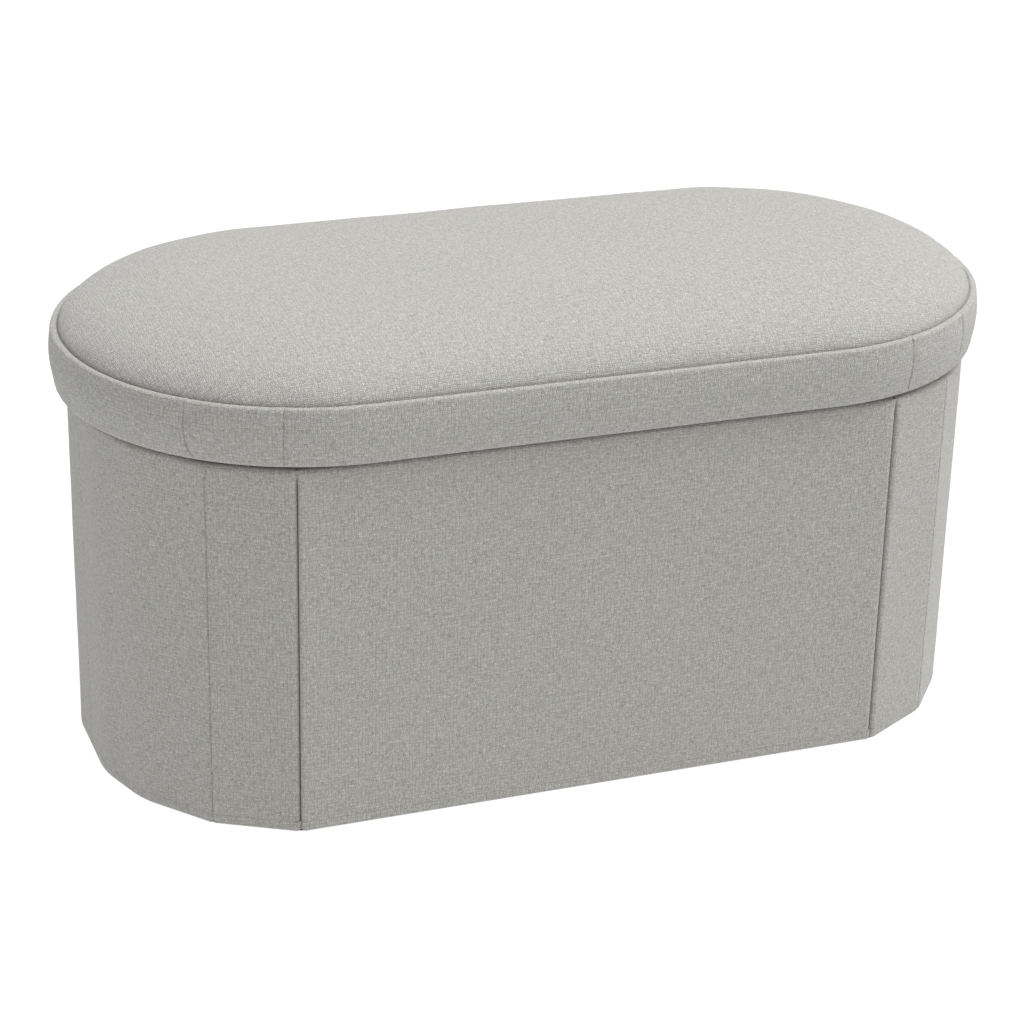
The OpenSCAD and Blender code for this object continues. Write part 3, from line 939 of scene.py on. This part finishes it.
def simulate_pad():
    """Inflates a slightly small copy of the pad as cloth, and returns its surface as a search tree."""
    ins = np.concatenate([[PAD_IN + 2.0], PAD_IN + 2.0 + (RL - PAD_IN - 2.0) * np.linspace(0, 1, 26)[1:] ** 1.5])
    hs = crown(ins, h=PAD_TOP - PAD_Z - 3.6, start=PAD_IN + 1.6) - 0.4
    V, F, n, m = pad_mesh(ins, hs, 64, 60, 312.0)
    me = bpy.data.meshes.new("pad_sim")
    me.from_pydata((V * MM).tolist(), [], F)
    ob = bpy.data.objects.new("pad_sim", me)
    scene.collection.objects.link(ob)
    bm = bmesh.new()
    bm.from_mesh(me)
    bmesh.ops.remove_doubles(bm, verts=bm.verts, dist=1e-4)
    bmesh.ops.recalc_face_normals(bm, faces=bm.faces)
    bm.to_mesh(me)
    bm.free()
    mod = ob.modifiers.new("remesh", "REMESH")
    mod.mode, mod.voxel_size = "VOXEL", 0.006
    apply_all(ob)
    me = ob.data
    rest = np.array([v.co for v in me.vertices])
    g = ob.vertex_groups.new(name="sewn")
    for i, c in enumerate(rest):
        if c[2] < (PAD_Z + 2.0) * MM:
            g.add([i], 1.0, "REPLACE")
    cl = ob.modifiers.new("cloth", "CLOTH")
    s = cl.settings
    s.use_pressure = True
    s.uniform_pressure_force = 4.0
    s.quality = 5
    s.mass = 0.3
    s.tension_stiffness = s.compression_stiffness = 15.0
    s.shear_stiffness = 5.0
    s.bending_stiffness = 0.5
    s.vertex_group_mass = "sewn"
    s.effector_weights.gravity = 0.0
    cl.collision_settings.use_collision = False
    cl.collision_settings.use_self_collision = False
    cl.point_cache.frame_start, cl.point_cache.frame_end = 1, 20
    scene.frame_start, scene.frame_end = 1, 20
    for f in range(1, 21):
        scene.frame_set(f)
        bpy.context.view_layer.update()
    apply_all(ob)
    scene.frame_set(1)
    now = np.array([v.co for v in ob.data.vertices])
    move = now - rest
    dist = np.linalg.norm(move, axis=1)
    cap = 0.0045
    k = np.where(dist > cap, cap / np.maximum(dist, 1e-9), 1.0)
    now = rest + move * k[:, None]
    ob.data.vertices.foreach_set("co", now.astype(np.float32).ravel())
    ob.data.update()
    print("pad simulation: points", len(rest), "mean move mm", round(float(dist.mean() * 1000), 2), "max", round(float(dist.max() * 1000), 2))
    tree = BVHTree.FromPolygons([Vector(c) for c in now], [tuple(p.vertices) for p in ob.data.polygons])
    bpy.data.objects.remove(ob)
    return tree


TREE = simulate_pad()

# final pad: clean rings laid on the simulated surface
ring_t = np.concatenate([[0, 0.0012, 0.003, 0.006, 0.010, 0.015, 0.022, 0.030], np.linspace(0.042, 1.0, 44)])
insets = PAD_IN + (RL - PAD_IN) * ring_t
heights = crown(insets)
V, F, n, m = pad_mesh(insets, heights, 168, 124, 312.5)
top0 = 4 * n
per, nor = stadium(0.0, arc_n=168, line_n=124)
seg = np.linalg.norm(np.roll(per, -1, 0) - per, axis=1)
along = np.concatenate([[0], np.cumsum(seg)])[:-1]
rs = np.random.RandomState(7)
puck_phase = rs.uniform(0, 6.28, 8)
puck_freq = rs.uniform(0.35, 0.95, 8)
puck = sum(np.sin(along * f + p) for f, p in zip(puck_freq, puck_phase)) / 4.0
slow = sum(np.sin(along * f * 0.11 + p * 1.7) for f, p in zip(puck_freq, puck_phase)) / 4.0
pleats = [(-316.2, -1), (316.2, -1), (-316.2, 1), (316.2, 1)]
# what the simulation adds to the crown: how the cloth eases over its form, without its finest wrinkles
EASE = np.zeros((len(insets), n))
if TREE is not None:
    for i in range(len(insets)):
        for j, (x, y) in enumerate(V[top0 + i * n: top0 + (i + 1) * n, :2]):
            hit = TREE.ray_cast(Vector((x * MM, y * MM, 0.45)), Vector((0, 0, -1)))[0]
            EASE[i, j] = hit.z / MM - heights[i] if hit is not None and hit.z / MM > PAD_Z else 0.0
    inner = insets > PAD_IN + 45.0
    EASE -= np.median(EASE[inner])
    EASE[insets < PAD_IN + 12.0] = 0.0
    for _ in range(7):
        EASE = EASE * 0.4 + (np.roll(EASE, 1, 1) + np.roll(EASE, -1, 1)) * 0.2 + (np.roll(EASE, 2, 1) + np.roll(EASE, -2, 1)) * 0.1
        EASE[1:-1] = EASE[1:-1] * 0.5 + (EASE[:-2] + EASE[2:]) * 0.25
    EASE = np.clip(EASE, -2.5, 2.5)
    print("ease from the simulation, mm: lowest", round(float(EASE.min()), 2), "highest", round(float(EASE.max()), 2))
for i, ins in enumerate(insets):
    sl = slice(top0 + i * n, top0 + (i + 1) * n)
    z = V[sl, 2].copy()
    near = ins - PAD_IN
    z += 0.4 * EASE[i] * float(smoothstep((near - 6.0) / 40.0))
    z += 0.42 * puck * math.exp(-near / 7.0) * min(1.0, near / 1.5)
    z += 0.55 * slow * math.exp(-near / 30.0) * min(1.0, near / 6.0)
    z += 0.5 * ripple(V[sl, 0] * 0.55, V[sl, 1] * 0.55, 2.0) * min(1.0, near / 40.0)
    for px, ps in pleats:
        j = np.argmin(np.abs(per[:, 0] - px) + (per[:, 1] * ps < 0) * 1e4)
        dd = np.abs(along - along[j])
        dd = np.minimum(dd, along[-1] + seg[-1] - dd)
        z -= 1.3 * np.exp(-((dd / 1.9) ** 2)) * math.exp(-near / 6.0) * min(1.0, near / 0.6)
    V[sl, 2] = z
PADV = V.copy()
me = bpy.data.meshes.new("lid_cushion_cover")
me.from_pydata((V * MM).tolist(), [], F)
uvl = me.uv_layers.new(name="cloth")
co = np.array([v.co for v in me.vertices]) * 1000
uu, vv = pad_uv(co[:, 0], co[:, 1])
li = np.array([l.vertex_index for l in me.loops])
uvl.data.foreach_set("uv", (np.stack([uu[li], vv[li]], 1).ravel() * MM).astype(np.float32))
pad = finish_mesh("lid_cushion_cover", me, LID, 0.0, 1e-5)
put(pad, "lid", ["lid_top_cover"])

# foam core, 2.5 mm inside the cover
V = PADV.copy()
c = V[:, :2].copy()
c[:, 0] -= np.clip(c[:, 0], -A_HALF, A_HALF)
r = np.linalg.norm(c, axis=1)[:, None]
V[:, :2] -= c / np.maximum(r, 1e-6) * np.minimum(2.0, r * 0.9)
V[:, 2] = np.where(V[:, 2] > 330, V[:, 2] - 2.6, V[:, 2] + 1.0)
me = bpy.data.meshes.new("lid_foam_core")
me.from_pydata((V * MM).tolist(), [], F)
core = finish_mesh("lid_foam_core", me, FOAM, 0.0, 1e-5)
put(core, "lid", ["lid_foam"])

# band round the lid
BAND = [(30.0, 300.86), (24.0, 300.86), (17.0, 300.86), (11.5, 300.86), (8.6, 300.95)]
BAND += [(7.8 - 4.6 * math.sin(rad(t)), 305.6 - 4.6 * math.cos(rad(t))) for t in (12, 30, 50, 70, 88)]
BAND += [(2.5, 308.0), (2.1, 311.2), (1.4, 315.0), (0.7, 319.5), (0.2, 324.5), (0.0, 329.0), (0.2, 333.5), (0.65, 337.6), (1.15, 340.6), (1.5, 342.6)]
BAND += [(4.85 - 3.2 * math.cos(rad(t)), 344.7 + 3.2 * math.sin(rad(t))) for t in (-8, 10, 28, 46, 64, 82, 100, 118, 134)]
BAND += [(7.35, 345.8), (7.5, 344.0), (7.5, 340.0), (7.5, 334.0)]
band_run = [0.0]
for i in range(1, len(BAND)):
    band_run.append(band_run[-1] + math.hypot(BAND[i][0] - BAND[i - 1][0], BAND[i][1] - BAND[i - 1][1]))
QTR = A_HALF + RL * math.pi / 2             # quarter of the perimeter at the widest line
TOTAL = 4 * QTR


def band_at(p, inset):
    """p: mm anticlockwise along the widest line from the middle of the right end."""
    p = p % TOTAL
    a = RL * math.pi / 2
    r = RL - inset
    if p < a:
        t = p / RL
        return A_HALF + r * math.cos(t), r * math.sin(t)
    p -= a
    if p < 2 * A_HALF:
        return A_HALF - p, r
    p -= 2 * A_HALF
    if p < 2 * a:
        t = math.pi / 2 + p / RL
        return -A_HALF + r * math.cos(t), r * math.sin(t)
    p -= 2 * a
    if p < 2 * A_HALF:
        return -A_HALF + p, -r
    p -= 2 * A_HALF
    t = -math.pi / 2 + p / RL
    return A_HALF + r * math.cos(t), r * math.sin(t)


tA, tB = math.acos((252.0 - A_HALF) / RL), math.acos((316.2 - A_HALF) / RL)
pA, pB = RL * tA, RL * tB
HALF_P = TOTAL / 2
bands = [
    ("right", -pB, pB, 1, 1), ("corner_back_right", pB, pA, 1, 0), ("back", pA, HALF_P - pA, 0, 0),
    ("corner_back_left", HALF_P - pA, HALF_P - pB, 0, 1), ("left", HALF_P - pB, HALF_P + pB, 1, 1),
    ("corner_front_left", HALF_P + pB, HALF_P + pA, 1, 0), ("front", HALF_P + pA, TOTAL - pA, 0, 0),
    ("corner_front_right", TOTAL - pA, TOTAL - pB, 0, 1),
]
FINE = [0.0, 0.35, 0.7, 1.1, 1.6, 2.3, 3.4, 5.0, 7.5, 11.0]


def seam_shift(z):
    """The outer seams of the band run towards the long sides as they reach its lower edge."""
    t = np.clip((321.0 - z) / 20.0, 0.0, 1.0)
    return 13.0 * (1 - math.sqrt(max(1 - t * t, 0.0)))


for name, a, b, curl_a, curl_b in bands:
    st = [a + f for f in FINE] + list(np.linspace(a + 11, b - 11, max(3, int((b - a - 22) / 5)))[1:-1]) + [b - f for f in FINE[::-1]]
    P = np.zeros((len(st), len(BAND), 3))
    UV = np.zeros((len(st), len(BAND), 2))
    for i, p in enumerate(st):
        da, db = p - a, b - p
        groove = 0.95 * (math.exp(-((da / 0.75) ** 2)) + math.exp(-((db / 0.75) ** 2))) + 0.30 * (math.exp(-((da / 3.0) ** 2)) + math.exp(-((db / 3.0) ** 2)))
        for j, (ins, z) in enumerate(BAND):
            # towards the nearer long side: that is away from the end
            sa = curl_a * seam_shift(z) * float(smoothstep(1 - da / 34.0)) * (1.0 if (a % TOTAL) < QTR or HALF_P < (a % TOTAL) < HALF_P + QTR else -1.0)
            sb = curl_b * seam_shift(z) * float(smoothstep(1 - db / 34.0)) * (1.0 if (b % TOTAL) < QTR or HALF_P < (b % TOTAL) < HALF_P + QTR else -1.0)
            q = p + sa + sb
            vis = float(smoothstep((z - 300.9) / 5.0)) * (1.0 if j < len(BAND) - 4 else 0.0)
            wave = 0.20 * ripple(q * 1.4, z * 2.2, 1.0) + 0.12 * math.sin(q * 0.42 + 1.1 * math.sin(q * 0.05)) * float(smoothstep((z - 336) / 10.0)) \
                + 0.14 * math.sin(q * 0.23 + 2.0) * float(smoothstep((312 - z) / 8.0))
            x, y = band_at(q, ins + groove * vis + wave * vis * 0.8 + 0.15)
            P[i, j] = (x, y, z)
            UV[i, j] = (q, band_run[j])
    o = grid_object(f"lid_band_{name}_panel", P, UV, LID, flip=False, solid=1.1)
    put(o, "lid", [f"lid_band_{name}"])


def tube(name, centre, radius, material, closed=True, sides=10, squash=1.0):
    """centre: (n, 3) mm on a closed horizontal line; radius: (n,)"""
    n = len(centre)
    d = np.roll(centre, -1, 0) - np.roll(centre, 1, 0)
    d /= np.linalg.norm(d, axis=1)[:, None]
    side = np.c_[d[:, 1], -d[:, 0], np.zeros(n)]
    side /= np.linalg.norm(side, axis=1)[:, None]
    L = np.concatenate([[0], np.cumsum(np.linalg.norm(np.roll(centre, -1, 0) - centre, axis=1))])[:-1]
    V, F = [], []
    for i in range(n):
        for k in range(sides):
            t = 2 * math.pi * k / sides
            V.append(centre[i] + (side[i] * math.cos(t) + np.array([0, 0, 1]) * math.sin(t) * squash) * radius[i])
    for i in range(n):
        i2 = (i + 1) % n
        for k in range(sides):
            k2 = (k + 1) % sides
            F.append((i * sides + k, i2 * sides + k, i2 * sides + k2, i * sides + k2))
    me = bpy.data.meshes.new(name)
    me.from_pydata((np.array(V) * MM).tolist(), [], F)
    lay = me.uv_layers.new(name="cloth")
    for p in me.polygons:
        for li in p.loop_indices:
            vi = me.loops[li].vertex_index
            lay.data[li].uv = (L[vi // sides] * MM, (vi % sides) * 2 * math.pi / sides * 1.3 * MM)
    bm = bmesh.new()
    bm.from_mesh(me)
    bmesh.ops.recalc_face_normals(bm, faces=bm.faces)
    bm.to_mesh(me)
    bm.free()
    return finish_mesh(name, me, material, 0.0, 0.0)


# the sewn seam allowance down in the crease, pinched at every stitch; its darker copy of the weave is painted shade for
# the crease under the rolled edge
pts, _n = stadium(7.75, arc_n=620, line_n=380)
al = np.concatenate([[0], np.cumsum(np.linalg.norm(np.roll(pts, -1, 0) - pts, axis=1))])[:-1]
pinch = 0.86 + 0.14 * np.abs(np.sin(al * math.pi / 3.6))
roll = tube("lid_seam_stitching", np.c_[pts, 346.1 + 0.12 * np.sin(al * math.pi / 1.8)], 0.85 * pinch, SEAM_SHADED_WEAVE, sides=8)
put(roll, "lid", ["lid_seam_roll"])

# lining under the lid
pts, _n = stadium(9.3, arc_n=96, line_n=60)
under = plate("lid_underside_cloth", pts, 300.02, 300.78, LINING, edge=0.38, rows_in=10)
put(under, "lid", ["lid_underside_lining"])


# ------------------------------------------------------------------ CAD nodes that stay
for name, node in frame["nodes"].items():
    if node.hide_render:
        continue
    node.data.materials.clear()
    if name == "lid_staples":
        node.data.materials.append(ZINC)
    else:
        node.data.materials.append(BOARD)
    print("CAD node shown:", name)


# ------------------------------------------------------------------ floor, light
def pale_floor():
    me = bpy.data.meshes.new("floor")
    n, L = 24, 14.0
    xs = np.linspace(-L, L, n)
    V = [(x, y, -0.0003) for x in xs for y in xs]
    F = [(i * n + j, (i + 1) * n + j, (i + 1) * n + j + 1, i * n + j + 1) for i in range(n - 1) for j in range(n - 1)]
    me.from_pydata(V, [], F)
    m, t, b = shader("pale_floor")
    # a lit white sweep: shadows on it stay very faint
    f = noise(t, object_vec(t), 3.0, 3.0)
    t.links.new(ramp(t, f, [(0.3, (0.13, 0.13, 0.13)), (0.7, (0.15, 0.15, 0.15))]), b.inputs["Base Color"])
    b.inputs["Emission Color"].default_value = (1.0, 1.0, 1.0, 1.0)
    b.inputs["Emission Strength"].default_value = 0.94
    b.inputs["Roughness"].default_value = 0.9
    b.inputs["Specular IOR Level"].default_value = 0.1
    me.materials.append(m)
    o = bpy.data.objects.new("floor", me)
    scene.collection.objects.link(o)


pale_floor()


def pale_wall():
    """A white backdrop far behind everything. It is only seen: it casts no light and no shadow."""
    me = bpy.data.meshes.new("backdrop")
    n, R, h = 96, 13.6, 9.0
    V = [(R * math.cos(2 * math.pi * i / n), R * math.sin(2 * math.pi * i / n), z) for i in range(n) for z in (-0.01, h)]
    F = [(2 * i, 2 * i + 1, 2 * ((i + 1) % n) + 1, 2 * ((i + 1) % n)) for i in range(n)]
    me.from_pydata(V, [], F)
    m, t, b = shader("pale_backdrop")
    f = noise(t, object_vec(t), 2.0, 2.0)
    t.links.new(ramp(t, f, [(0.3, (1.0, 1.0, 1.0)), (0.7, (1.03, 1.03, 1.03))]), b.inputs["Emission Color"])
    b.inputs["Emission Strength"].default_value = 1.05
    me.materials.append(m)
    o = bpy.data.objects.new("backdrop", me)
    scene.collection.objects.link(o)
    o.visible_diffuse = o.visible_glossy = o.visible_transmission = o.visible_shadow = o.visible_volume_scatter = False


pale_wall()


def area(name, loc, target, size, power):
    data = bpy.data.lights.new(name, "AREA")
    data.shape, data.size, data.energy = "DISK", size, power
    o = bpy.data.objects.new(name, data)
    o.location = loc
    o.rotation_mode = "QUATERNION"
    o.rotation_quaternion = (Vector(target) - Vector(loc)).to_track_quat("-Z", "Y")
    scene.collection.objects.link(o)


world = bpy.data.worlds.new("studio")
world.use_nodes = True
world.node_tree.nodes["Background"].inputs["Color"].default_value = (1.0, 1.0, 1.0, 1.0)
world.node_tree.nodes["Background"].inputs["Strength"].default_value = 0.45
scene.world = world
area("key", (1.3, -0.7, 2.6), (0.0, 0.0, 0.2), 1.6, 26.0)
sun = bpy.data.lights.new("overhead", "SUN")
sun.energy, sun.angle = 2.3, rad(50.0)
so = bpy.data.objects.new("overhead", sun)
so.rotation_mode = "QUATERNION"
so.rotation_quaternion = Vector((0.30, 0.12, 1.0)).to_track_quat("Z", "Y")
scene.collection.objects.link(so)
scene.view_settings.view_transform = "Standard"
scene.view_settings.look = "None"
